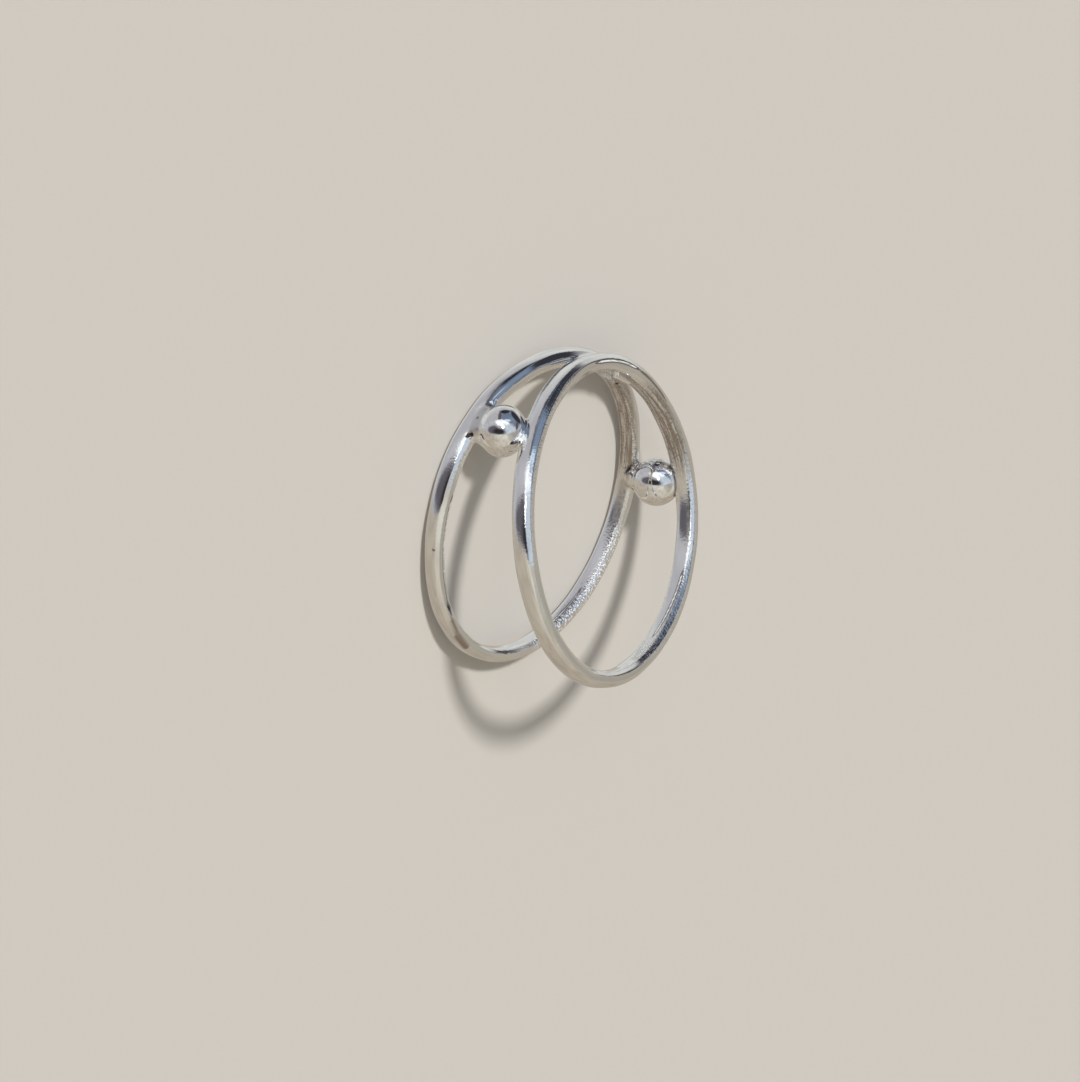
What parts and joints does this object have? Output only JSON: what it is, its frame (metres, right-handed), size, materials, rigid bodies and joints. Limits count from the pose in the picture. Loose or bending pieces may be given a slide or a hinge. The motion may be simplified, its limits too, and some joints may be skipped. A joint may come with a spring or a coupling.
{
  "type": "finger ring",
  "caption": "Slim silver finger ring of twin bands that meet at one soldered point and spread apart, with a small round ball set in the gap on each flank.",
  "frame": {"origin": "middle of the ring's plan at floor level, with the ring lying on its rear band", "axes": "+Z along the finger, out of the rear band towards the front band; -Y from the middle to the soldered joint"},
  "size_m": [0.0201, 0.0194, 0.0087],
  "materials": {
    "silver": "polished sterling silver"
  },
  "bodies": {
    "root": {"ring": "silver"}
  },
  "joints": []
}
